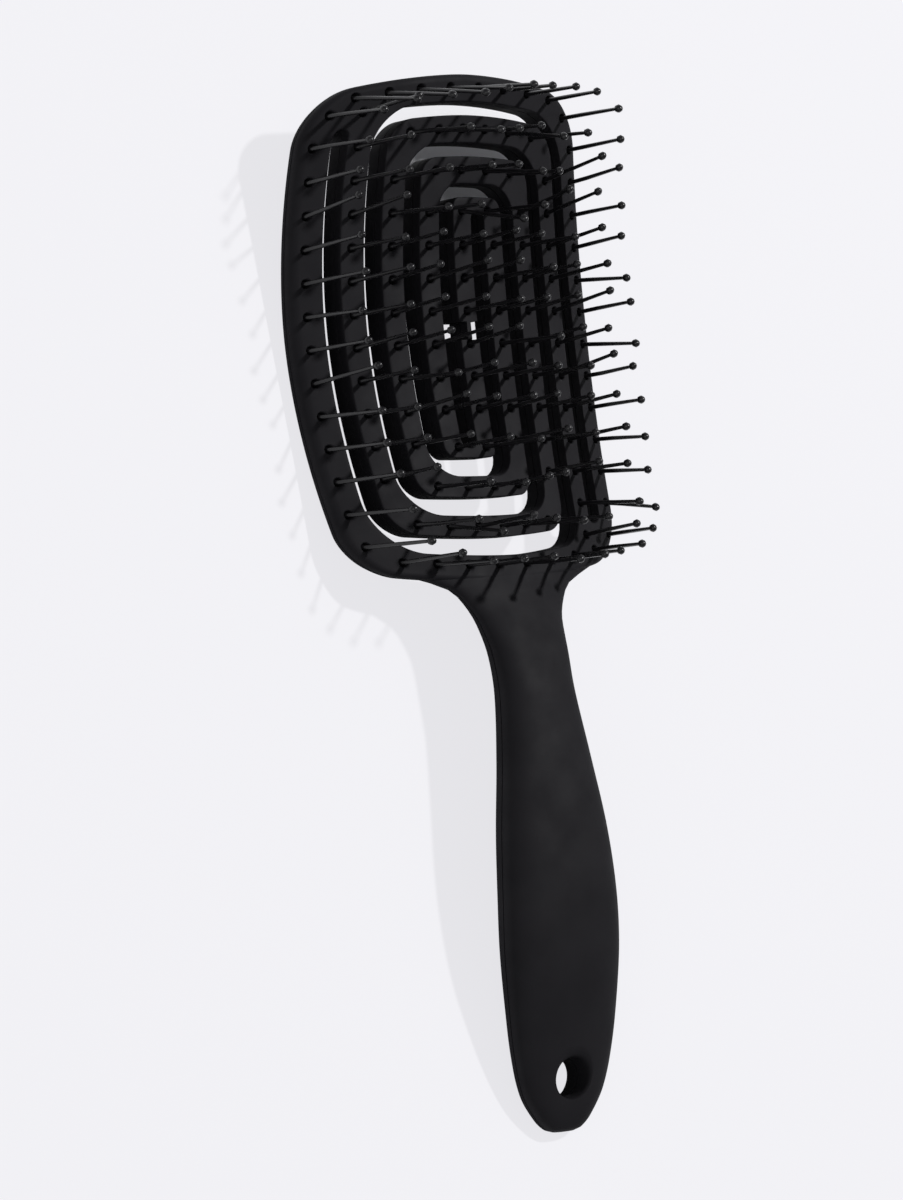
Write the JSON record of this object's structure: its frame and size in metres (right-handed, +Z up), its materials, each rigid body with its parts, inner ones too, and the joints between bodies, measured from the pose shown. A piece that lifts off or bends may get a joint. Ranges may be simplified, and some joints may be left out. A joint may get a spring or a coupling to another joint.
{
  "type": "vented paddle hair brush",
  "caption": "Black vented paddle brush: a saddle-shaped head cut by two spiral slots, ball-tipped nylon pins on strips inside, and a slim handle with a hang hole.",
  "frame": {"origin": "on the surface that the brush rests on, under the middle of its bounding box", "axes": "+Y along the length from handle tip to head, +Z up out of the pinned face, +X to the right seen from the pins with the head up"},
  "size_m": [0.085, 0.239, 0.0453],
  "materials": {
    "soft_touch_black": "matte black moulded plastic with a soft, faintly grained skin",
    "black_nylon": "smooth black nylon with a low sheen"
  },
  "bodies": {
    "root": {"front_frame": "soft_touch_black", "back_cover": "soft_touch_black", "pin_strip_rim_left": "black_nylon", "pin_strip_rim_right": "black_nylon", "pin_strip_rim_top": "black_nylon", "pin_strip_rim_bottom": "black_nylon", "pin_strip_first_arm_outer": "black_nylon", "pin_strip_first_arm_bottom": "black_nylon", "pin_strip_first_arm_right": "black_nylon", "pin_strip_first_arm_top": "black_nylon", "pin_strip_first_arm_inner": "black_nylon", "pin_strip_first_arm_tail": "black_nylon", "pin_strip_second_arm_outer": "black_nylon", "pin_strip_second_arm_top": "black_nylon", "pin_strip_second_arm_left": "black_nylon", "pin_strip_second_arm_bottom": "black_nylon", "pin_strip_second_arm_inner": "black_nylon", "pin_strip_second_arm_tail": "black_nylon", "pin_strip_centre": "black_nylon"}
  },
  "joints": []
}
